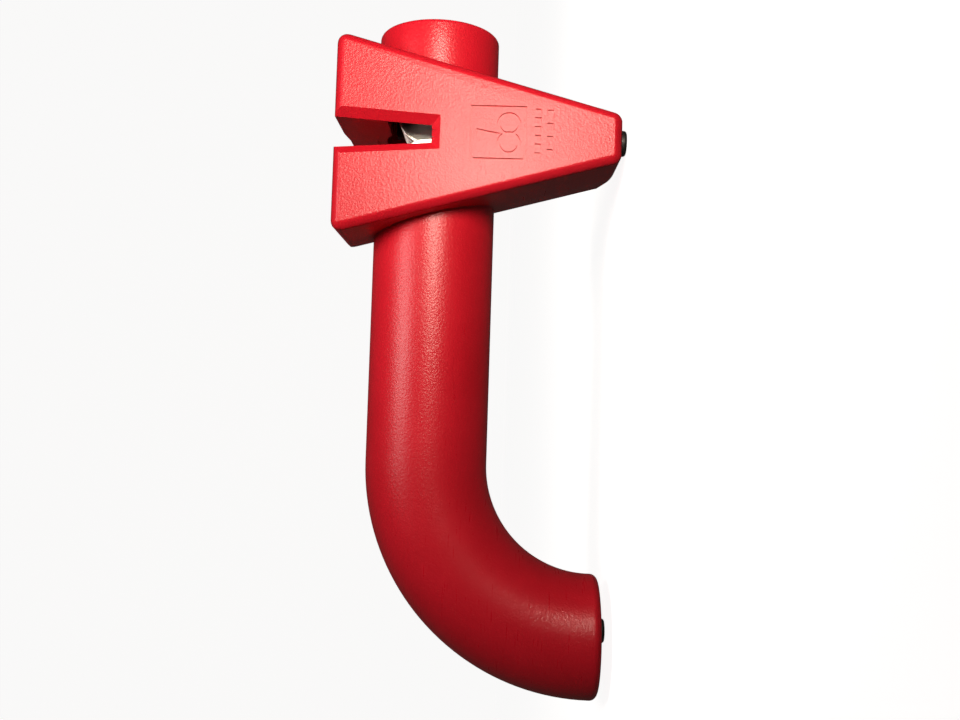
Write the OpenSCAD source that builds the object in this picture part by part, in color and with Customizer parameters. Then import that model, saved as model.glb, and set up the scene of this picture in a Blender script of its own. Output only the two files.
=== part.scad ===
// Pull-through knife sharpener with a J-shaped tube handle.
// It stands on two rubber feet with the slot open upward (+Z). The tube runs along X and
// the knife is drawn along Y. Lengths are in millimetres.

/* [Handle tube] */
// Outside diameter of the tube
tube_od = 32; // [24:0.5:40]
// Wall of the tube
tube_wall = 2.6; // [1.6:0.1:4]
// Straight length, from the top end to the start of the bend
tube_straight = 114; // [90:1:140]
// Radius of the bend, on the tube's axis
bend_r = 44; // [30:1:60]
// Height of the tube's axis above the table
axis_h = 48.9; // [44:0.1:70]

/* [Head] */
// Distance from the tube's top end to the middle of the slot
head_from_top = 31.5; // [28:0.5:45]
// Half width of the head at the tube's axis
head_half = 19; // [18:0.5:26]
// Growth of the half width per millimetre of height
head_taper = 0.2735; // [0.2:0.005:0.32]
// Mouth face above the tube's axis
mouth_up = 24.3; // [22:0.1:32]
// Front face in front of the tube's axis
front_y = 22.7; // [20:0.1:28]
// Back face behind the tube's axis
back_y = 18; // [17.5:0.1:26]
// Seam between the two shells, in front of the tube's axis
seam_y = 6; // [4:0.1:8]
// Wall of the shells
wall = 2.4; // [1.6:0.1:3]
// Bevel along the front edges
bevel = 2.2; // [0.8:0.1:3]
// Radius of the corners in plan
corner_r = 2.2; // [1:0.1:4]

/* [Slot] */
// Half width of the slot at its inner end
slot_in = 2.2; // [1.6:0.1:3]
// Half width of the slot at the mouth
slot_out = 3.85; // [2.5:0.1:5]
// Height of the slot's inner end above the tube's axis
slot_floor = -0.1; // [-2:0.1:2]

/* [Sharpening discs] */
// Diameter of a disc
disc_d = 16; // [14:0.2:18]
// Thickness of a disc
disc_t = 1.5; // [1:0.1:2]
// Gap between a disc and the discs on either side of it
disc_gap = 0.2; // [0.1:0.05:0.4]
// Discs on each axle
disc_n = 4; // [2:1:4]
// Overlap of the two packs
disc_overlap = 1.4; // [1:0.1:2.2]
// Height of the axles above the tube's axis
axle_up = 1.3; // [0:0.1:3]
// Front face of the first disc, in front of the tube's axis
disc_front = 14.3; // [13.5:0.1:15]
// Diameter of the axles
axle_d = 4; // [3:0.1:5]
// Running clearance on the radius
run_fit = 0.05; // [0.02:0.01:0.1]

/* [Feet and screws] */
// Diameter of a foot
foot_d = 6.4; // [5.6:0.1:8]
// How far a foot stands out
foot_h = 1.5; // [1:0.1:3]
// Nose foot in front of the tube's axis
nose_foot_y = 16; // [12:0.5:16.5]
// Tail foot behind the tube's axis
tail_foot_y = 7; // [0:0.5:8]
// Diameter of the shell screws
screw_d = 2.9; // [2.5:0.1:3.5]

/* [Output] */

/* [Hidden] */
$fn = 96;

red = [0.78, 0.05, 0.08];
black = [0.06, 0.06, 0.06];
steel = [0.72, 0.72, 0.70];

tube_r = tube_od / 2;
bore_r = tube_r - tube_wall;
table_z = -axis_h;
nose_z = table_z + foot_h;
slope_a = atan(head_taper);
lean = sqrt(1 + head_taper * head_taper);
bend_x = head_from_top - tube_straight;
pad_h = 1.3;
tail_round = 1.9;
tail_z = nose_z + pad_h;
tail_x = bend_x - bend_r;
plug_t = 3;

// The box around the whole tool, whose bottom centre is the origin
box_x0 = tail_x - tube_r;
box_x1 = head_from_top;
mid_x = (box_x0 + box_x1) / 2;
mid_y = (back_y - front_y) / 2;

// Rear slopes of the head: nose, mouth and the two long sides
nose_slope = 24;
mouth_slope = 7;
side_slope = 20;
side_slope_y = 3;
lip_y = 0.6 - seam_y;

disc_r = disc_d / 2;
axle_x = disc_r - disc_overlap / 2;
pitch = 2 * (disc_t + disc_gap);
pack_len = pitch * (disc_n - 1) + disc_t;
upper_y = -disc_front + disc_t + disc_gap;
lower_y = -disc_front;
pack_back = upper_y + pack_len;
spacer_r = 4;
axle_r = axle_d / 2;

// The carrier: two plates that hold the axles, and the web that joins them
plate_t = 2.4;
shell_gap = 0.3;
carrier_slot_gap = 1.7;
front_plate_y = lower_y - 0.3 - plate_t;
rear_plate_y = pack_back + 0.3;
carrier_back = rear_plate_y + plate_t;
carrier_half = axle_x + disc_r + 1.4;
web_z = axle_up - disc_r - 1.6;
web_t = 2.2;
carrier_top = axle_up + disc_r + 1.5;
carrier_bottom = web_z - web_t;
head_d = axle_d + 2;
axle_head_t = 0.8;
ring_t = 0.8;
ring_r = axle_r + 1.5;
pocket_gap = 0.3;
pocket_half = carrier_half + pocket_gap;
pocket_top = carrier_top + pocket_gap;
pocket_back = carrier_back + ring_t + pocket_gap + 0.5;

// Screw places: a pair in the jaws beside the slot's mouth, and two in the nose
jaw_x = 16;
jaw_z = tube_r + 2.9;
nose_screw_z = [-20.6, -31.5];
screw_r = screw_d / 2;
boss_r = screw_r + 1.2;
screw_head_r = screw_r + 0.75;
screw_head_t = 1.6;
screw_len = 11;
boss_join = -seam_y;
seat_back = -seam_y + 3.2;
carrier_screw_z = carrier_bottom - 2.6;
carrier_screw_x = 8.5;

function head_line(z, i) = head_half + head_taper * z - i * lean;

// Points of an arc of radius r that rounds the corner p between the neighbours a and b
function dir(a, b) = (b - a) / norm(b - a);
function half_angle(p, a, b) = acos(dir(p, a) * dir(p, b)) / 2;
function centre(p, a, b, r) = p + dir([0, 0], dir(p, a) + dir(p, b)) * r / sin(half_angle(p, a, b));
function bearing(c, p, t) = let (u = dir(c, p), v = [-u[1], u[0]]) cos(t) * u + sin(t) * v;
function corner(p, a, b, r) = let (c = centre(p, a, b, r), h = 90 - half_angle(p, a, b))
    [for (k = [-5:2:5]) c + r * bearing(c, p, h * k / 5)];

// Convex outline, given anticlockwise, with rounded corners
module rounded(pts, r) {
    n = len(pts);
    polygon([for (k = [0:n - 1]) each corner(pts[k], pts[(k + n - 1) % n], pts[(k + 1) % n], r)]);
}

// Extrudes a plan in X and Z along Y from y0 to y1
module along_y(y0, y1) {
    translate([0, y1, 0]) rotate([90, 0, 0]) linear_extrude(y1 - y0) children();
}

module disc_y(x, z, y0, y1, r) {
    translate([x, y1, z]) rotate([90, 0, 0]) cylinder(h = y1 - y0, r = r);
}

module both_sides() {
    children();
    mirror([1, 0, 0]) children();
}

// Puts a piece made around the tube's axis into the shared frame
module place() {
    translate([-mid_x, -mid_y, -table_z]) children();
}

module head_plan(i) {
    z0 = nose_z + i;
    z1 = mouth_up - i;
    pts = [[-head_line(z0, i), z0], [head_line(z0, i), z0],
           [head_line(z1, i), z1], [-head_line(z1, i), z1]];
    if (i == 0) rounded(pts, corner_r);
    else polygon(pts);
}

// What the rear slopes take off, moved inward by i for the hollow
module rear_slopes(i) {
    big = 120;
    translate([0, lip_y, nose_z]) rotate([nose_slope, 0, 0])
        translate([-big / 2, -big / 2, i - big]) cube(big);
    translate([0, lip_y, mouth_up]) rotate([-mouth_slope, 0, 0])
        translate([-big / 2, -big / 2, -i]) cube(big);
    both_sides() translate([head_half, side_slope_y, 0]) rotate([0, slope_a, 0])
        rotate([0, 0, side_slope]) translate([-i, -big / 2, -big / 2]) cube(big);
}

module front_bevels() {
    big = 120;
    y = bevel - front_y;
    translate([0, y, nose_z]) rotate([-45, 0, 0]) translate([-big / 2, -big / 2, -big]) cube(big);
    translate([0, y, mouth_up]) rotate([45, 0, 0]) translate([-big / 2, -big / 2, 0]) cube(big);
    both_sides() translate([head_half, y, 0]) rotate([0, slope_a, 0])
        rotate([0, 0, -45]) translate([0, -big / 2, -big / 2]) cube(big);
}

// The head's solid, moved inward by i
module head_solid(i) {
    difference() {
        along_y(i - front_y, back_y - i) head_plan(i);
        rear_slopes(i);
        if (i == 0) front_bevels();
    }
}

slot_grow = (slot_out - slot_in) / (mouth_up - slot_floor);

module slot_plan(i) {
    top = mouth_up + 8;
    s1 = slot_in + slot_grow * (top - slot_floor) + i;
    polygon([[-slot_in - i, slot_floor - i], [slot_in + i, slot_floor - i], [s1, top], [-s1, top]]);
}

// The slot's bevel in the front face: three sloping planes that meet in mitres
module slot_bevel() {
    big = 160;
    y = bevel - front_y;
    intersection() {
        translate([-big / 2, y - 6, -big / 2]) cube([big, 7, big]);
        translate([0, y, slot_floor]) rotate([45, 0, 0]) translate([-big / 2, -big / 2, 0]) cube(big);
        translate([slot_in, y, slot_floor]) rotate([0, atan(slot_grow), 0]) rotate([0, 0, 45])
            translate([-big, -big / 2, -big / 2]) cube(big);
        translate([-slot_in, y, slot_floor]) rotate([0, -atan(slot_grow), 0]) rotate([0, 0, -45])
            translate([0, -big / 2, -big / 2]) cube(big);
    }
}

// The space for the carrier and the discs
module pocket(gap) {
    translate([-pocket_half - gap, -front_y + wall, carrier_screw_z - 3 - gap])
        cube([2 * (pocket_half + gap), front_y - wall + pocket_back,
              pocket_top + gap - carrier_screw_z + 3 + gap]);
}

module tube_body(r) {
    translate([bend_x, 0, 0]) rotate([0, 90, 0]) cylinder(h = tube_straight, r = r);
    translate([bend_x, 0, -bend_r]) rotate([90, 0, 0])
        rotate_extrude(angle = 90, start = 90) translate([bend_r, 0]) circle(r);
    disc_z(tail_x, 0, tail_z, -bend_r, r);
}

// A plain frame, a blade over two discs, and short bars in place of words
module face_marks() {
    depth = 0.35;
    line = 0.55;
    size = 13.8;
    cz = -16.7;
    y0 = -front_y - 1;
    y1 = -front_y + depth;
    along_y(y0, y1) translate([0, cz]) difference() {
        square(size, center = true);
        square(size - 2 * line, center = true);
    }
    for (s = [-1, 1]) along_y(y0, y1) translate([s * 2.4, cz - 2.6]) difference() {
        circle(2.9);
        circle(2.9 - line);
    }
    along_y(y0, y1) translate([0, cz]) polygon([[0, -0.6], [1.1, 5.4], [-1.1, 5.4]]);
    for (k = [0:5]) along_y(y0, y1) translate([-5.9 + 2.2 * k, -27.2]) square([1.3, 1.5]);
    for (k = [0:3]) along_y(y0, y1) translate([-5.9 + 3.3 * k, -30.2]) square([2.2, 1.5]);
}

module screw_bosses(y0, y1, r) {
    for (s = [-1, 1]) disc_y(s * jaw_x, jaw_z, y0, y1, r);
    for (z = nose_screw_z) disc_y(0, z, y0, y1, r);
}

module front_shell() color(red) place() difference() {
    union() {
        difference() {
            head_solid(0);
            head_solid(wall);
        }
        intersection() {
            head_solid(0.8);
            union() {
                difference() {
                    along_y(wall - front_y - 0.5, 0) slot_plan(wall);
                    pocket(0);
                }
                screw_bosses(wall - front_y - 0.5, 0, boss_r);
                both_sides() disc_y(carrier_screw_x, carrier_screw_z, wall - front_y - 0.5,
                                    front_plate_y, boss_r);
            }
        }
    }
    translate([-100, -seam_y, -100]) cube(200);
    along_y(-front_y - 1, 1) slot_plan(0);
    slot_bevel();
    translate([-60, 0, 0]) rotate([0, 90, 0]) cylinder(h = 120, r = tube_r);
    screw_bosses(-seam_y - screw_len + 3, 0, screw_r + run_fit);
    both_sides() disc_y(carrier_screw_x, carrier_screw_z, front_plate_y - 2.2, front_plate_y + 1,
                        screw_r + run_fit);
    disc_z(0, -nose_foot_y, nose_z - 1, nose_z + wall + 1, foot_d / 2 - 1.3);
    face_marks();
}

module disc_z(x, y, z0, z1, r) {
    translate([x, y, z0]) cylinder(h = z1 - z0, r = r);
}

module rear_shell() color(red) place() difference() {
    union() {
        difference() {
            head_solid(0);
            head_solid(wall);
        }
        intersection() {
            head_solid(0.8);
            union() {
                difference() {
                    along_y(-seam_y, back_y) slot_plan(wall);
                    pocket(0);
                }
                screw_bosses(-seam_y, back_y, screw_head_r + 1.3);
            }
        }
    }
    translate([-100, -seam_y - 200, -100]) cube(200);
    along_y(-seam_y - 1, back_y + 1) slot_plan(0);
    translate([-60, 0, 0]) rotate([0, 90, 0]) cylinder(h = 120, r = tube_r);
    screw_bosses(-seam_y - 1, back_y, screw_r + 0.2);
    screw_bosses(seat_back, back_y + 1, screw_head_r + 0.2);
}

// What rounds the rim of the tube's tail
module tail_rounding() {
    translate([tail_x, 0, tail_z]) rotate_extrude() difference() {
        translate([tube_r - tail_round, -1]) square([tail_round + 1, tail_round + 1]);
        translate([tube_r - tail_round, tail_round]) circle(tail_round);
    }
}

module handle_tube() color(red) place() difference() {
    tube_body(tube_r);
    tail_rounding();
    tube_body(bore_r);
    intersection() {
        pocket(0.2);
        along_y(-30, 30) head_plan(wall - 0.1);
    }
    along_y(-30, 30) slot_plan(0.2);
}

module top_plug() color(red) place() translate([head_from_top, 0, 0]) rotate([0, -90, 0])
    difference() {
        cylinder(h = 8, r = bore_r);
        translate([0, 0, plug_t]) cylinder(h = 8, r = bore_r - 2);
    }

module tail_plug() color(red) place() difference() {
    union() {
        disc_z(tail_x, 0, tail_z, tail_z + plug_t, bore_r);
        disc_z(tail_x, tail_foot_y, nose_z, tail_z + 1, foot_d / 2 + 1);
    }
    disc_z(tail_x, tail_foot_y, nose_z - 1, tail_z + plug_t + 1, foot_d / 2 - 1.3);
}

// A rubber foot with its stem and the flange that holds it behind a wall of thickness t
module foot(x, y, t) {
    disc_z(x, y, table_z, nose_z, foot_d / 2);
    disc_z(x, y, nose_z - 0.2, nose_z + t + 0.2, foot_d / 2 - 1.3);
    disc_z(x, y, nose_z + t, nose_z + t + 1.2, foot_d / 2 - 0.5);
}

module nose_foot() color(black) place() foot(0, -nose_foot_y, wall);

module tail_foot() color(black) place() foot(tail_x, tail_foot_y, pad_h + plug_t);

// A block of the carrier from z0 up to z1, narrowed to stay inside the shells
module carrier_block(y0, y1, z0, z1) {
    along_y(y0, y1) intersection() {
        translate([-carrier_half, z0]) square([2 * carrier_half, z1 - z0]);
        head_plan(wall + shell_gap);
    }
}

module disc_carrier() color(black) place() difference() {
    union() {
        carrier_block(front_plate_y, front_plate_y + plate_t, carrier_screw_z - 2.8, carrier_top);
        carrier_block(rear_plate_y, carrier_back, carrier_bottom, carrier_top);
        carrier_block(front_plate_y, carrier_back, carrier_bottom, web_z);
    }
    along_y(front_plate_y - 1, carrier_back + 1) slot_plan(carrier_slot_gap);
    both_sides() {
        disc_y(axle_x, axle_up, front_plate_y - 1, carrier_back + 1, axle_r);
        disc_y(axle_x, axle_up, front_plate_y - 1, front_plate_y + axle_head_t, head_d / 2);
        disc_y(carrier_screw_x, carrier_screw_z, front_plate_y - 1, 0, screw_r + 0.2);
    }
}

module pan_screw(x, z, seat, length) {
    disc_y(x, z, seat, seat + screw_head_t, screw_head_r);
    disc_y(x, z, seat - length, seat + 0.2, screw_r);
}

module carrier_screws() color(steel) place() both_sides()
    pan_screw(carrier_screw_x, carrier_screw_z, front_plate_y + plate_t, plate_t + 2);

module jaw_screws() color(steel) place() both_sides()
    pan_screw(jaw_x, jaw_z, seat_back, screw_len);

module nose_screws() color(steel) place() for (z = nose_screw_z)
    pan_screw(0, z, seat_back, screw_len);

module axle(s) {
    disc_y(s * axle_x, axle_up, front_plate_y, carrier_back + ring_t + 0.4, axle_r);
    disc_y(s * axle_x, axle_up, front_plate_y, front_plate_y + axle_head_t, head_d / 2);
}

module upper_axle() color(steel) place() axle(1);

module lower_axle() color(steel) place() axle(-1);

module axle_rings() color(steel) place() both_sides() difference() {
    disc_y(axle_x, axle_up, carrier_back, carrier_back + ring_t, ring_r);
    disc_y(axle_x, axle_up, carrier_back - 1, carrier_back + ring_t + 1, axle_r);
}

// One pack: discs from y0 on, with a spacer in each gap between them
module discs(s, y0) {
    for (k = [0:disc_n - 1]) difference() {
        disc_y(s * axle_x, axle_up, y0 + pitch * k, y0 + pitch * k + disc_t, disc_r);
        disc_y(s * axle_x, axle_up, y0 - 1, y0 + pack_len + 1, axle_r + run_fit);
    }
}

module spacers(s, y0) {
    for (k = [0:disc_n - 2]) difference() {
        disc_y(s * axle_x, axle_up, y0 + pitch * k + disc_t, y0 + pitch * (k + 1), spacer_r);
        disc_y(s * axle_x, axle_up, y0 - 1, y0 + pack_len + 1, axle_r + run_fit);
    }
}

module upper_discs() color(steel) place() discs(1, upper_y);

module upper_spacers() color(black) place() spacers(1, upper_y);

module lower_discs() color(steel) place() discs(-1, lower_y);

module lower_spacers() color(black) place() spacers(-1, lower_y);

front_shell();
rear_shell();
handle_tube();
top_plug();
tail_plug();
disc_carrier();
carrier_screws();
upper_axle();
lower_axle();
axle_rings();
upper_discs();
upper_spacers();
lower_discs();
lower_spacers();
jaw_screws();
nose_screws();
nose_foot();
tail_foot();
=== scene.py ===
from math import atan, cos, radians, sin, sqrt, tan

import bmesh
import bpy
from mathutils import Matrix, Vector


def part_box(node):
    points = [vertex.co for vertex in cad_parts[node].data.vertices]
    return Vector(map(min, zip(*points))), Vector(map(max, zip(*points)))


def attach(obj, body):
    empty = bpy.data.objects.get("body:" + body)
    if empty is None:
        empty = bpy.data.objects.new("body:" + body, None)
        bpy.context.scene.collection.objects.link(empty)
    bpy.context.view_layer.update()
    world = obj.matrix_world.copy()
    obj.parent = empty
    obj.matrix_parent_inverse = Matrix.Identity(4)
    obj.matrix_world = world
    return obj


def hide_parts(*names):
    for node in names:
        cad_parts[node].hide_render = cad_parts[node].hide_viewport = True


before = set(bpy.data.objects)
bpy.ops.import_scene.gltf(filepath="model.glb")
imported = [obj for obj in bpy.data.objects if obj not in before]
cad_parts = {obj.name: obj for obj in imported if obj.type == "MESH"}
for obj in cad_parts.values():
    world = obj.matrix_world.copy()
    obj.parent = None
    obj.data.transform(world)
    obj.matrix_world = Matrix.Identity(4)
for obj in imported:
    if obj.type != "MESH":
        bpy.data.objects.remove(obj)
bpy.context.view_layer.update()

# ---- Camera, light and ground ---------------------------------------------------------
# The tool is posed on its two feet, as a hand holds it on a table, and the camera lies on
# its side in front of it. A lamp beside the camera gives the bright streak along the tube,
# and a wide one above gives the soft light.

MM = 0.001
tube_low, tube_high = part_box("handle_tube")
head_low, head_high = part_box("front_shell")
TUBE_R = 16.0
middle = Vector(((head_low.x + head_high.x) / 2, (tube_low.y + tube_high.y) / 2,
                 tube_high.z - TUBE_R * MM))


def at(x, y, z):
    """A place in millimetres from the tube's axis, in the middle of the knife slot."""
    return middle + Vector((x, y, z)) * MM


bpy.ops.object.camera_add(location=at(-69.17, -257.0, -18.36),
                          rotation=(radians(122.155), radians(87.9585), radians(28.9555)))
camera = bpy.context.object
camera.name = "camera"
camera.data.lens = 36.17
camera.data.clip_start = 0.01
bpy.context.scene.camera = camera
bpy.context.scene.view_settings.view_transform = "Standard"


def lamp(name, place, aim, size, watts, colour, spread=180):
    bpy.ops.object.light_add(type="AREA", location=at(*place))
    light = bpy.context.object
    light.name = name
    light.rotation_euler = (at(*aim) - light.location).to_track_quat("-Z", "Y").to_euler()
    light.data.shape = "DISK"
    light.data.size = size * MM
    light.data.energy = watts
    light.data.color = colour
    light.data.spread = radians(spread)


lamp("lamp_by_camera", (60, -262, -34), (34, 0, -14), 116, 0.27, (1.0, 0.88, 0.74), 84)
lamp("soft_lamp", (0, -220, 245), (0, 0, 0), 150, 0.11, (1.0, 0.88, 0.84), 80)

world = bpy.data.worlds.new("room")
bpy.context.scene.world = world
world.use_nodes = True
world.node_tree.nodes["Background"].inputs["Color"].default_value = (1.0, 0.9, 0.82, 1)
world.node_tree.nodes["Background"].inputs["Strength"].default_value = 0.05


class Wire:
    """A shader socket that plain arithmetic works on; each operation adds a Math node."""

    def __init__(self, tree, socket):
        self.tree, self.socket = tree, socket

    def math(self, operation, *others):
        node = self.tree.nodes.new("ShaderNodeMath")
        node.operation = operation
        for slot, value in zip(node.inputs, (self,) + others):
            plug(self.tree, slot, value)
        return Wire(self.tree, node.outputs[0])

    def __add__(self, other): return self.math("ADD", other)
    def __radd__(self, other): return self.math("ADD", other)
    def __mul__(self, other): return self.math("MULTIPLY", other)
    def __rmul__(self, other): return self.math("MULTIPLY", other)
    def __sub__(self, other): return self.math("SUBTRACT", other)
    def __rsub__(self, other): return wire_of(self.tree, other).math("SUBTRACT", self)
    def __truediv__(self, other): return self.math("DIVIDE", other)
    def __pow__(self, other): return self.math("POWER", other)
    def __gt__(self, other): return self.math("GREATER_THAN", other)
    def __lt__(self, other): return self.math("LESS_THAN", other)
    def clamp(self): return self.math("MAXIMUM", 0.0).math("MINIMUM", 1.0)


def wire_of(tree, number):
    node = tree.nodes.new("ShaderNodeMath")
    node.operation = "ADD"
    node.inputs[0].default_value, node.inputs[1].default_value = number, 0.0
    return Wire(tree, node.outputs[0])


def plug(tree, slot, value):
    if isinstance(value, Wire):
        tree.links.new(value.socket, slot)
    elif isinstance(value, tuple) and slot.type == "RGBA":
        slot.default_value = (*value[:3], 1.0)
    else:
        slot.default_value = value


class Finish:
    """A material under construction: its node tree, its shader and its Object coordinates."""

    def __init__(self, name, **constants):
        self.material = bpy.data.materials.new(name)
        self.material.use_nodes = True
        self.tree = self.material.node_tree
        self.shader = self.tree.nodes["Principled BSDF"]
        self.set(**constants)
        self.place = self.add("TexCoord", out="Object")

    def add(self, kind, settings=None, out=0, **sockets):
        node = self.tree.nodes.new("ShaderNode" + kind)
        for key, value in (settings or {}).items():
            if key == "stops":
                ramp = node.color_ramp
                while len(ramp.elements) < len(value):
                    ramp.elements.new(0.5)
                for stop, (where, tone) in zip(ramp.elements, value):
                    stop.position, stop.color = where, (*tone, 1.0)
            else:
                setattr(node, key, value)
        for key, value in sockets.items():
            slot_key = int(key[1:]) if key[0] == "_" else key.replace("_", " ")
            slot = node.inputs[slot_key]
            plug(self.tree, slot, value)
        return Wire(self.tree, node.outputs[out])

    def set(self, **sockets):
        for key, value in sockets.items():
            plug(self.tree, self.shader.inputs[key.replace("_", " ")], value)

    def noise(self, scale, detail=2.0, rough=0.5, where=None):
        return self.add("TexNoise", Vector=where or self.place, Scale=scale, Detail=detail,
                        Roughness=rough)

    def ramp(self, value, low, high):
        return self.add("MapRange", Value=value, From_Min=low, From_Max=high)

    def mix(self, factor, a, b):
        return self.add("Mix", {"data_type": "RGBA"}, out=2, _0=factor, _6=a, _7=b)

    def bump(self, height, strength, distance):
        self.set(Normal=self.add("Bump", Height=height, Strength=strength, Distance=distance * MM))


def paint(piece, finish):
    piece.data.materials.clear()
    piece.data.materials.append(finish.material)


def deselect():
    if bpy.context.object and bpy.context.object.mode == "EDIT":
        bpy.ops.object.mode_set(mode="OBJECT")
    bpy.ops.object.select_all(action="DESELECT")


def backdrop(name, size, place, turn):
    deselect()
    bpy.ops.mesh.primitive_plane_add(size=size * MM, location=at(*place), rotation=turn)
    sheet = bpy.context.object
    sheet.name = name
    bpy.ops.object.transform_apply(location=True, rotation=True, scale=True)
    paper = Finish(name + "_paper", Base_Color=(0.95, 0.95, 0.94), Roughness=0.9,
                   Emission_Color=(1.0, 1.0, 1.0), Emission_Strength=0.9)
    paper.set(Base_Color=paper.mix(paper.noise(30.0), (0.93, 0.93, 0.92), (0.96, 0.96, 0.96)))
    paint(sheet, paper)
    sheet.visible_diffuse = False
    sheet.visible_glossy = False


backdrop("ground", 6000, (-55.5, 0, middle.z / -MM), (0, 0, 0))
backdrop("back_wall", 12000, (-55.5, 2900, 0), (radians(90), 0, 0))

# ---- Handle tube ----------------------------------------------------------------------
# A moulded tube of red plastic with a J bend, 32 mm across with a 2.6 mm wall.
# It goes right through the head, where the knife slot and the disc carrier cut into it.

TUBE_TOP = (tube_high.x - middle.x) / MM
BEND_X, BEND_R = -82.5, 44.0
TAIL_Z = (tube_low.z - middle.z) / MM
WALL = 2.6


def start(name, add, **how):
    """Adds a primitive on its own, in edit mode with nothing selected."""
    deselect()
    add(**how)
    piece = bpy.context.object
    piece.name = piece.data.name = name
    bpy.ops.object.transform_apply(location=True, rotation=True, scale=True)
    bpy.ops.object.mode_set(mode="EDIT")
    bpy.ops.mesh.select_all(action="DESELECT")
    return piece


def pick(piece, kind, test):
    """Selects the faces, edges or vertices whose middle and normal pass the test."""
    mesh = bmesh.from_edit_mesh(piece.data)
    bpy.ops.mesh.select_all(action="DESELECT")
    bpy.context.tool_settings.mesh_select_mode = (kind == "VERT", kind == "EDGE", kind == "FACE")
    mesh = bmesh.from_edit_mesh(piece.data)
    mesh.faces.ensure_lookup_table()
    chosen = 0
    for item in {"VERT": mesh.verts, "EDGE": mesh.edges, "FACE": mesh.faces}[kind]:
        if kind == "FACE":
            good = test((item.calc_center_median() - middle) / MM, item.normal)
        elif kind == "EDGE":
            good = test((item.verts[0].co - middle) / MM, (item.verts[1].co - middle) / MM)
        else:
            good = test((item.co - middle) / MM)
        if good:
            item.select = True
            chosen += 1
    mesh.select_flush_mode()
    bmesh.update_edit_mesh(piece.data)
    return chosen


def close(piece, merge=0.002):
    """Merges doubles, turns the faces outward and leaves edit mode."""
    bpy.ops.mesh.select_all(action="SELECT")
    bpy.ops.mesh.remove_doubles(threshold=merge * MM)
    bpy.ops.mesh.normals_make_consistent(inside=False)
    bpy.ops.object.mode_set(mode="OBJECT")


def modify(piece, kind, **settings):
    """Adds a modifier and applies it at once."""
    deselect()
    piece.select_set(True)
    bpy.context.view_layer.objects.active = piece
    step = piece.modifiers.new(kind.lower(), kind)
    for key, value in settings.items():
        setattr(step, key, value)
    bpy.ops.object.modifier_apply(modifier=step.name)


def cut(piece, *tools, how="DIFFERENCE"):
    for tool in tools:
        modify(piece, "BOOLEAN", operation=how, solver="MANIFOLD", object=tool)
        bpy.data.objects.remove(tool, do_unlink=True)
        bpy.ops.object.mode_set(mode="EDIT")
        bpy.ops.mesh.select_all(action="SELECT")
        bpy.ops.mesh.remove_doubles(threshold=0.001 * MM)
        bpy.ops.object.mode_set(mode="OBJECT")


def soften(piece, width, segments=2, angle=32):
    """Rounds the sharp edges a little, as a mould does, and shades the rest smooth."""
    modify(piece, "BEVEL", width=width * MM, segments=segments, limit_method="ANGLE",
           angle_limit=radians(angle), use_clamp_overlap=True, harden_normals=False,
           miter_outer="MITER_ARC")
    bpy.ops.object.shade_smooth_by_angle(angle=radians(40))
    modify(piece, "WEIGHTED_NORMAL", keep_sharp=True)


def carve(name, low, high, *planes):
    """A block from low to high, with what lies beyond each plane (point, outward) cut off."""
    low, high = Vector(low), Vector(high)
    block = start(name, bpy.ops.mesh.primitive_cube_add, size=1, location=at(*((low + high) / 2)),
                  scale=(high - low) * MM)
    for point, outward in planes:
        bpy.ops.mesh.select_all(action="SELECT")
        bpy.ops.mesh.bisect(plane_co=at(*point), plane_no=Vector(outward).normalized(),
                            use_fill=True, clear_outer=True)
    close(block)
    return block


def bar(name, a, b, radius, sides=96):
    """A round bar from a to b."""
    a, b = Vector(a), Vector(b)
    rod = start(name, bpy.ops.mesh.primitive_cylinder_add, vertices=sides, radius=radius * MM,
                depth=(b - a).length * MM, location=at(*((a + b) / 2)),
                rotation=(b - a).to_track_quat("Z", "Y").to_euler())
    close(rod)
    return rod


SLOT_IN, SLOT_OUT, SLOT_FLOOR, MOUTH = 2.2, 3.85, -0.1, 24.3
SLOT_GROW = (SLOT_OUT - SLOT_IN) / (MOUTH - SLOT_FLOOR)


def slot_prism(name, gap, y0, y1, top=34.0):
    """The knife slot's space, wider at the mouth, with a gap all round."""
    tilt = (1.0, 0.0, -SLOT_GROW)
    return carve(name, (-9, y0, SLOT_FLOOR - gap), (9, y1, top),
                 ((SLOT_IN + gap, 0, SLOT_FLOOR), tilt),
                 ((-SLOT_IN - gap, 0, SLOT_FLOOR), (-tilt[0], 0, tilt[2])))


handle_tube = start("handle_tube_shell", bpy.ops.mesh.primitive_circle_add, vertices=128,
                    radius=TUBE_R * MM, location=at(TUBE_TOP, 0, 0), rotation=(0, radians(90), 0))
bpy.ops.mesh.select_all(action="SELECT")
for length in (6, 28, 28, 28, TUBE_TOP - BEND_X - 90):
    bpy.ops.mesh.extrude_region_move(TRANSFORM_OT_translate={"value": (-length * MM, 0, 0)})
bpy.ops.mesh.spin(steps=40, angle=radians(90), center=at(BEND_X, 0, -BEND_R), axis=(0, 1, 0))
bpy.ops.mesh.extrude_region_move(TRANSFORM_OT_translate={"value": (0, 0, (TAIL_Z + BEND_R) * MM)})
close(handle_tube)
modify(handle_tube, "SOLIDIFY", thickness=WALL * MM, offset=-1, use_rim=True)
bpy.ops.object.mode_set(mode="EDIT")
TAIL_X = BEND_X - BEND_R
pick(handle_tube, "EDGE", lambda a, b: max(abs(a.z - TAIL_Z), abs(b.z - TAIL_Z)) < 0.01
     and min((Vector((v.x - TAIL_X, v.y)).length for v in (a, b))) > TUBE_R - 0.5)
bpy.ops.mesh.bevel(offset=1.9 * MM, segments=6, affect="EDGES", offset_type="OFFSET")
pick(handle_tube, "EDGE", lambda a, b: max(abs(a.x - TUBE_TOP), abs(b.x - TUBE_TOP)) < 0.01
     and min(a.yz.length, b.yz.length) > TUBE_R - 0.5)
bpy.ops.mesh.bevel(offset=1.1 * MM, segments=5, affect="EDGES", offset_type="OFFSET")
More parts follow.
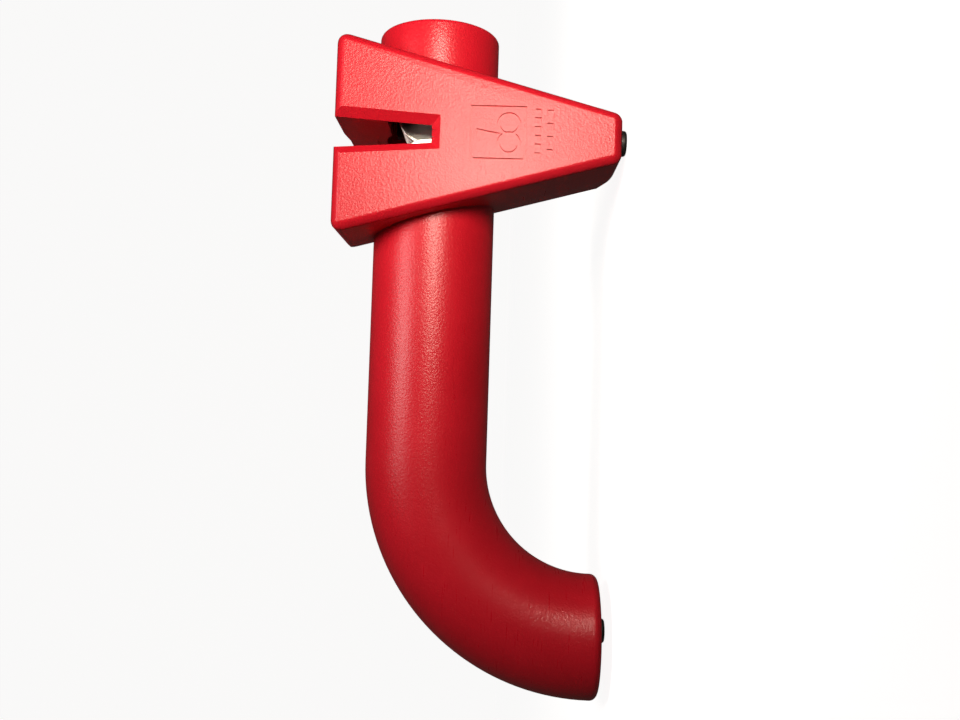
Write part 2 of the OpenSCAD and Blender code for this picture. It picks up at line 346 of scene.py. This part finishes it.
bpy.ops.object.mode_set(mode="OBJECT")
HALF, TAPER, NOSE = 19.0, 0.2735, -47.4
LEAN = sqrt(1 + TAPER * TAPER)


def side_planes(inset):
    """The two long sides of the head's wedge, moved inward by inset."""
    side = HALF - inset * LEAN
    return ((side, 0, 0), (1, 0, -TAPER)), ((-side, 0, 0), (-1, 0, -TAPER))


cut(handle_tube, slot_prism("slot_space", 0.2, -30, 30),
    carve("carrier_space", (-17.2, -20.4, -17.4), (17.2, 6.0, 11.3), *side_planes(2.3)))
bpy.ops.object.shade_smooth_by_angle(angle=radians(40))


def red_plastic(name, glint_and_grain=1.0):
    """Red plastic from a spark-eroded mould: fine grain with painted glints, faint flow marks,
    small scratches.
    """
    red = Finish(name, Roughness=0.42, IOR=1.5)
    grain = red.noise(2600.0, 3.0, 0.6)
    pits = red.add("TexVoronoi", Vector=red.place, Scale=1500.0)
    flow = red.noise(38.0, 4.0, 0.6)
    cloud = red.noise(14.0, 2.0, 0.5)
    tone = red.mix(red.ramp(flow, 0.3, 0.7), (0.60, 0.006, 0.018), (0.70, 0.010, 0.026))
    # Painted glints: the grain's highest points are painted pale orange, standing in for sparkles
    # of light on the grain.
    tone = red.mix(red.ramp(grain, 0.62, 0.80) * 0.35 * glint_and_grain, tone, (0.90, 0.16, 0.10))
    stretched = red.add("Mapping", Vector=red.place, Scale=(1.0, 1.0, 22.0),
                        Rotation=(0.0, radians(38), 0.0))
    scratch = red.ramp(red.noise(120.0, 2.0, 0.5, stretched), 0.66, 0.70)
    red.set(Base_Color=tone,
            Roughness=(0.25 + 0.10 * red.ramp(cloud, 0.3, 0.7) + 0.08 * grain
                       - 0.06 * scratch).clamp())
    red.bump(grain + pits * 0.6 + scratch * 0.10 + flow * 0.25, 0.75 * glint_and_grain, 0.07)
    return red


tube_red = red_plastic("tube_red")
paint(handle_tube, tube_red)
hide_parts("handle_tube")
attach(handle_tube, "body")

# ---- Disc carrier ---------------------------------------------------------------------
# Two black glass-filled plates joined by a web, held in the front shell by two pan screws.
# It carries the axles on both sides of the knife slot.


def coat(node, finish):
    """Gives a part that keeps its own shape a finish."""
    paint(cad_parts[node], finish)


black = Finish("carrier_black", Roughness=0.55, IOR=1.5)
fibre = black.add("Mapping", Vector=black.place, Scale=(1.0, 6.0, 1.0))
strand = black.noise(1400.0, 3.0, 0.7, fibre)
mould = black.noise(90.0, 4.0, 0.6)
black.set(Base_Color=black.mix(black.ramp(strand, 0.35, 0.75), (0.010, 0.010, 0.011),
                               (0.040, 0.039, 0.038)),
          Roughness=(0.48 + 0.22 * mould).clamp())
black.bump(strand * 0.8 + mould * 0.5, 0.4, 0.05)
for node in ("disc_carrier", "upper_spacers", "lower_spacers"):
    coat(node, black)

# ---- Axles, rings and screws ----------------------------------------------------------
# Zinc-plated steel: turned axles with a flat head, pressed rings, and pan-head screws.

zinc = Finish("zinc_plate", Metallic=1.0, Roughness=0.3)
turned = zinc.noise(420.0, 4.0, 0.65)
blush = zinc.noise(60.0, 3.0, 0.5)
zinc.set(Base_Color=zinc.mix(zinc.ramp(blush, 0.3, 0.7), (0.56, 0.55, 0.52), (0.66, 0.66, 0.68)),
         Roughness=(0.24 + 0.22 * turned).clamp())
zinc.bump(turned, 0.25, 0.03)
for node in ("upper_axle", "lower_axle", "axle_rings", "carrier_screws"):
    coat(node, zinc)

# ---- Sharpening discs -----------------------------------------------------------------
# Two packs of four hardened steel discs, 16 mm across and 1.5 mm thick, that interleave.
# Each is ground on both faces with a fine circular lay, and its edge is broken. The lower pack's
# steel is painted lighter as lit, and the upper pack's darker as shaded.

DISC_R, DISC_T, PITCH, AXLE_R = 8.0, 1.5, 3.4, 2.05
AXLE_X, AXLE_Z = 7.3, 1.3


def disc_pack(name, x, first_y):
    """Four discs made from one: a bored blank with broken edges and a shallow ground recess."""
    disc = start(name, bpy.ops.mesh.primitive_cylinder_add, vertices=96, radius=DISC_R * MM,
                 depth=DISC_T * MM, location=at(x, first_y + DISC_T / 2, AXLE_Z),
                 rotation=(radians(90), 0, 0))
    axis = Vector((x, 0, AXLE_Z))

    def ends(c, n):
        return abs(n.y) > 0.9 and Vector((c.x - axis.x, c.z - axis.z)).length < 0.5
    pick(disc, "FACE", ends)
    bpy.ops.mesh.inset(thickness=0.9 * MM)
    bpy.ops.mesh.inset(thickness=0.12 * MM, depth=-0.05 * MM)
    bpy.ops.mesh.inset(thickness=(DISC_R - 1.02 - AXLE_R - 0.9) * MM)
    bpy.ops.mesh.inset(thickness=0.12 * MM, depth=0.05 * MM)
    bpy.ops.mesh.inset(thickness=0.78 * MM)
    bpy.ops.mesh.bridge_edge_loops()
    pick(disc, "EDGE", lambda a, b: abs(a.y - b.y) < 0.01
         and min(Vector((v.x - axis.x, v.z - axis.z)).length for v in (a, b)) > DISC_R - 0.05)
    bpy.ops.mesh.bevel(offset=0.22 * MM, segments=3, affect="EDGES", offset_type="OFFSET")
    for step in (1, 2, 3):
        pick(disc, "FACE", lambda c, n: c.y < first_y + DISC_T + 0.1)
        bpy.ops.mesh.duplicate_move(TRANSFORM_OT_translate={"value": (0, PITCH * step * MM, 0)})
    close(disc)
    bpy.ops.object.shade_smooth_by_angle(angle=radians(30))
    return disc


def ground_steel(name, x, painted_lit):
    steel = Finish(name, Metallic=1.0, Roughness=0.32)
    centred = steel.add("Mapping", {"vector_type": "POINT"}, Vector=steel.place,
                        Location=tuple(-1 * c for c in at(x, 0, AXLE_Z)))
    radius = steel.add("VectorMath", {"operation": "LENGTH"}, out="Value",
                       _0=steel.add("VectorMath", {"operation": "MULTIPLY"}, _0=centred,
                                    _1=(1.0, 0.0, 1.0)))
    rings = (radius * 21000.0 + 3.0 * steel.noise(300.0)).math("SINE")
    lay = steel.noise(9000.0, 2.0, 0.6, steel.add("CombineXYZ", X=radius, Y=0.0, Z=0.0))
    smear = steel.noise(260.0, 4.0, 0.6)
    cool, tint = (0.80, 0.79, 0.75), (0.86, 0.82, 0.73)
    # Painted light: the lower pack gets a lighter, creamier steel as if lit, and the upper pack
    # keeps the darker colour as the shaded copy of the same steel.
    if painted_lit:
        cool, tint = (0.88, 0.85, 0.76), (0.93, 0.90, 0.82)
    steel.set(Base_Color=steel.mix(steel.ramp(smear, 0.35, 0.7), cool, tint),
              Roughness=(0.26 + 0.16 * lay + 0.10 * smear).clamp())
    steel.bump(rings * 0.3 + lay, 0.25, 0.02)
    return steel


for name, node, x, first_y, painted_lit, rider in (
        ("upper_disc_pack", "upper_discs", AXLE_X, -12.6, False, "upper_wheels"),
        ("lower_disc_pack", "lower_discs", -AXLE_X, -14.3, True, "lower_wheels")):
    pack = disc_pack(name, x, first_y)
    paint(pack, ground_steel(name + "_steel", x, painted_lit))
    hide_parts(node)
    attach(pack, rider)

# ---- Rear shell of the head -----------------------------------------------------------
# The back half of the hollow head, in the same red plastic with 2.4 mm walls.
# Its back slopes off toward the nose, the mouth and both sides, and takes the screws.

FRONT, BACK, SEAM, SHELL = -22.7, 18.0, -6.0, 2.4
JAW_SCREWS = ((-16.0, 18.9), (16.0, 18.9))
NOSE_SCREWS = ((0.0, -20.6), (0.0, -31.5))


def rear_planes(inset):
    """The slopes behind the head: nose, mouth and both long sides."""
    lip, planes = 0.6 + SEAM, []
    for edge, way, slope in ((NOSE, -1, radians(24)), (MOUTH, 1, radians(7))):
        planes.append(((0, lip, edge - way * inset / cos(slope)),
                       (0, sin(slope), way * cos(slope))))
    turn = radians(20)
    for way in (1, -1):
        normal = Vector((way * cos(turn) / LEAN, sin(turn), -cos(turn) * TAPER / LEAN))
        planes.append((Vector((way * HALF, 3, 0)) - inset * normal, normal))
    return planes


def shave(piece, planes):
    """Cuts off what lies beyond each plane."""
    bpy.context.view_layer.objects.active = piece
    bpy.ops.object.mode_set(mode="EDIT")
    for point, outward in planes:
        bpy.ops.mesh.select_all(action="SELECT")
        bpy.ops.mesh.bisect(plane_co=at(*point), plane_no=Vector(outward).normalized(),
                            use_fill=True, clear_outer=True)
    close(piece, 0.01)


def head_block(name, inset, y0, y1):
    """The head's wedge between y0 and y1, moved inward by inset."""
    return carve(name, (-40, y0, NOSE + inset), (40, y1, MOUTH - inset), *side_planes(inset))


def round_corners(block, radius):
    """Rounds the wedge's four corners in plan."""
    bpy.context.view_layer.objects.active = block
    bpy.ops.object.mode_set(mode="EDIT")
    half_angle = {1: radians(45) - atan(TAPER) / 2, -1: radians(45) + atan(TAPER) / 2}
    for end in (1, -1):
        pick(block, "EDGE", lambda a, b: abs(a.y - b.y) > 2 and a.z * end > 20 and b.z * end > 20
             and abs(a.x - b.x) < 0.45 * abs(a.y - b.y))
        bpy.ops.mesh.bevel(offset=radius / tan(half_angle[end]) * MM, segments=6,
                           affect="EDGES", offset_type="OFFSET")
    bpy.ops.object.mode_set(mode="OBJECT")


def ribs(name, y0, y1, gap_back):
    """The walls beside the knife slot, open where the discs run."""
    wall = slot_prism(name, SHELL, y0, y1, MOUTH - 0.8)
    cut(wall, carve(name + "_gap", (-17, FRONT + SHELL, -18), (17, gap_back, 11.1)))
    return wall


def posts(name, y0, y1, radius):
    """One round bar per screw that joins the shells."""
    return [bar(name, (x, y0, z), (x, y1, z), radius, 48) for x, z in JAW_SCREWS + NOSE_SCREWS]


rear_shell = head_block("rear_shell_skin", 0.0, SEAM, BACK)
round_corners(rear_shell, 2.5)
shave(rear_shell, rear_planes(0.0))
inner = head_block("rear_hollow", SHELL, SEAM - 5, BACK - SHELL)
shave(inner, rear_planes(SHELL))
cut(rear_shell, inner)
cut(rear_shell, ribs("rear_ribs", SEAM, BACK - 1.0, 5.9), how="UNION")
for post in posts("screw_post", SEAM, 14.0, 3.5):
    inside = head_block("inside", 0.8, SEAM, BACK - 0.8)
    shave(inside, rear_planes(0.8))
    cut(post, inside, how="INTERSECT")
    cut(rear_shell, post, how="UNION")
cut(rear_shell, slot_prism("slot_cut", 0.0, SEAM - 5, BACK + 5))
cut(rear_shell, bar("tube_hole", (-60, 0, 0), (60, 0, 0), TUBE_R + 0.01, 128))
cut(rear_shell, *posts("screw_bore", SEAM - 1, BACK + 1, 1.65))
cut(rear_shell, *posts("screw_well", SEAM + 3.2, BACK + 4, 2.4))
soften(rear_shell, 0.3, 2)
shell_red = red_plastic("shell_red")
paint(rear_shell, shell_red)
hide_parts("rear_shell")
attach(rear_shell, "body")

# ---- Front shell of the head ----------------------------------------------------------
# The front half, with a rounded bevel round its face and round the knife slot.
# A square with a blade over two wheels and rows of short bars are sunk into its face.

BEVEL = 2.2
front_shell = head_block("front_shell_skin", 0.0, FRONT, SEAM)
round_corners(front_shell, 2.5)
bpy.ops.object.mode_set(mode="EDIT")
pick(front_shell, "EDGE", lambda a, b: max(abs(a.y - FRONT), abs(b.y - FRONT)) < 0.01)
bpy.ops.mesh.bevel(offset=BEVEL * MM, segments=4, profile=0.36, affect="EDGES",
                   offset_type="OFFSET")
close(front_shell, 0.01)
cut(front_shell, head_block("front_hollow", SHELL, FRONT + SHELL, 5))
cut(front_shell, ribs("front_ribs", FRONT + 1.5, SEAM, 8), how="UNION")
cut(front_shell, slot_prism("slot_cut", 0.0, FRONT - 5, 5))
bevel_y = FRONT + BEVEL
cut(front_shell, carve("slot_bevel", (-30, bevel_y - 6, -20), (30, bevel_y + 1, 60),
                       ((0, bevel_y, SLOT_FLOOR), (0, 1, -1)),
                       ((SLOT_IN, bevel_y, SLOT_FLOOR), (1, 1, -SLOT_GROW)),
                       ((-SLOT_IN, bevel_y, SLOT_FLOOR), (-1, 1, -SLOT_GROW))))
cut(front_shell, bar("tube_hole", (-60, 0, 0), (60, 0, 0), TUBE_R + 0.01, 128))
for x, z, tilt in ((-1.55, -0.5, -8), (-0.55, -0.75, 4), (0.45, -0.6, -3), (1.3, -0.85, 9)):
    nick = start("nick", bpy.ops.mesh.primitive_cone_add, vertices=24, radius1=2.6 * MM,
                 radius2=0.0, depth=0.34 * MM, location=at(x, bevel_y + 0.6, z + 1.7),
                 rotation=(0, radians(90 + tilt), 0))
    close(nick)
    cut(front_shell, nick)


def sink(cutter):
    """Debosses a mark 0.5 mm into the front face."""
    cut(front_shell, cutter)


DEEP, MARK_Z = FRONT + 0.5, -16.7
frame_mark = carve("frame_mark", (-6.9, FRONT - 1, MARK_Z - 6.9), (6.9, DEEP, MARK_Z + 6.9))
cut(frame_mark, carve("frame_core", (-6.2, FRONT - 2, MARK_Z - 6.2), (6.2, DEEP + 1, MARK_Z + 6.2)))
sink(frame_mark)
for side in (-1, 1):
    wheel_x, wheel_z = side * 2.4, MARK_Z - 2.6
    wheel = bar("wheel_mark", (wheel_x, FRONT - 1, wheel_z), (wheel_x, DEEP, wheel_z), 2.9, 48)
    cut(wheel, bar("wheel_core", (wheel_x, FRONT - 2, wheel_z), (wheel_x, DEEP + 1, wheel_z),
                   2.15, 48))
    sink(wheel)
sink(carve("blade_mark", (-2, FRONT - 1, MARK_Z - 0.6), (2, DEEP, MARK_Z + 5.4),
           ((0, 0, MARK_Z - 0.6), (6, 0, -1.1)), ((0, 0, MARK_Z - 0.6), (-6, 0, -1.1))))
for k in range(6):
    sink(carve("bar_mark", (-5.9 + 2.2 * k, FRONT - 1, -27.2), (-4.6 + 2.2 * k, DEEP, -25.7)))
for k in range(4):
    sink(carve("bar_mark", (-5.9 + 3.3 * k, FRONT - 1, -30.2), (-3.7 + 3.3 * k, DEEP, -28.7)))
soften(front_shell, 0.1, 2)
paint(front_shell, shell_red)
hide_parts("front_shell")
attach(front_shell, "body")

# ---- Screws that join the shells ------------------------------------------------------
# Four zinc-plated self-tapping screws with pan heads and a cross recess, sunk in wells.


def pan_screw(name, x, z):
    """One screw with a domed head, a cross recess and a thread of shallow rings."""
    seat = SEAM + 3.2
    screw = start(name, bpy.ops.mesh.primitive_cylinder_add, vertices=48, radius=2.2 * MM,
                  depth=1.6 * MM, location=at(x, seat + 0.8, z), rotation=(radians(90), 0, 0))
    pick(screw, "EDGE", lambda a, b: min(a.y, b.y) > seat + 1.5)
    bpy.ops.mesh.bevel(offset=0.6 * MM, segments=4, affect="EDGES", offset_type="OFFSET")
    pick(screw, "FACE", lambda c, n: n.y < -0.9)
    bpy.ops.mesh.inset(thickness=0.75 * MM)
    for turn in range(18):
        bpy.ops.mesh.extrude_region_move(TRANSFORM_OT_translate={"value": (0, -0.3 * MM, 0)})
        size = 1.13 if turn % 2 else 1 / 1.13
        bpy.ops.transform.resize(value=(size, 1, size))
    bpy.ops.mesh.extrude_region_move(TRANSFORM_OT_translate={"value": (0, -5.2 * MM, 0)})
    bpy.ops.transform.resize(value=(0.8, 1, 0.8))
    close(screw)
    for long, wide in ((1.3, 0.28), (0.28, 1.3)):
        cut(screw, carve("recess", (x - long, seat + 0.7, z - wide),
                         (x + long, seat + 3, z + wide)))
    bpy.ops.object.shade_smooth_by_angle(angle=radians(35))
    return screw


for node, places in (("jaw_screws", JAW_SCREWS), ("nose_screws", NOSE_SCREWS)):
    pair = [pan_screw(node + "_plated", x, z) for x, z in places]
    deselect()
    for screw in pair:
        screw.select_set(True)
    bpy.context.view_layer.objects.active = pair[0]
    bpy.ops.object.join()
    paint(pair[0], zinc)
    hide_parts(node)
    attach(pair[0], "body")

# ---- Plugs at the ends of the tube ----------------------------------------------------
# Two red caps pressed into the bore, one flush with the top, one that carries the tail foot.

plug_red = red_plastic("plug_red")
for node in ("top_plug", "tail_plug"):
    coat(node, plug_red)

# ---- Rubber feet ----------------------------------------------------------------------
# Black rubber buttons, 6.4 mm across, pulled through the plastic by a stem with a flange.

rubber = Finish("foot_rubber", Roughness=0.38, IOR=1.52)
dust = rubber.noise(240.0, 4.0, 0.65)
skin = rubber.noise(1800.0, 3.0, 0.6)
rubber.set(Base_Color=rubber.mix(rubber.ramp(dust, 0.5, 0.8), (0.012, 0.011, 0.011),
                                 (0.075, 0.062, 0.055)),
           Roughness=(0.30 + 0.25 * dust).clamp())
rubber.bump(skin * 0.6 + dust, 0.35, 0.05)

GROUND_Z = -middle.z / MM
FOOT_R, FOOT_H = 3.2, 1.5
for name, node, x, y, wall in (("nose_button", "nose_foot", 0.0, -16.0, SHELL),
                               ("tail_button", "tail_foot", BEND_X - BEND_R, 7.0, 4.3)):
    foot = start(name, bpy.ops.mesh.primitive_cylinder_add, vertices=64, radius=FOOT_R * MM,
                 depth=FOOT_H * MM, location=at(x, y, GROUND_Z + FOOT_H / 2))
    pick(foot, "EDGE", lambda a, b: max(a.z, b.z) < GROUND_Z + 0.01)
    bpy.ops.mesh.bevel(offset=0.7 * MM, segments=6, affect="EDGES", offset_type="OFFSET")
    pick(foot, "FACE", lambda c, n: n.z > 0.9)
    bpy.ops.mesh.inset(thickness=1.3 * MM)
    bpy.ops.mesh.extrude_region_move(TRANSFORM_OT_translate={"value": (0, 0, wall * MM)})
    bpy.ops.mesh.extrude_region_move(TRANSFORM_OT_translate={"value": (0, 0, 0.02 * MM)})
    bpy.ops.transform.resize(value=(1.4, 1.4, 1))
    bpy.ops.mesh.extrude_region_move(TRANSFORM_OT_translate={"value": (0, 0, 1.15 * MM)})
    bpy.ops.transform.resize(value=(0.8, 0.8, 1))
    close(foot)
    bpy.ops.object.shade_smooth_by_angle(angle=radians(35))
    paint(foot, rubber)
    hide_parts(node)
    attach(foot, "body")
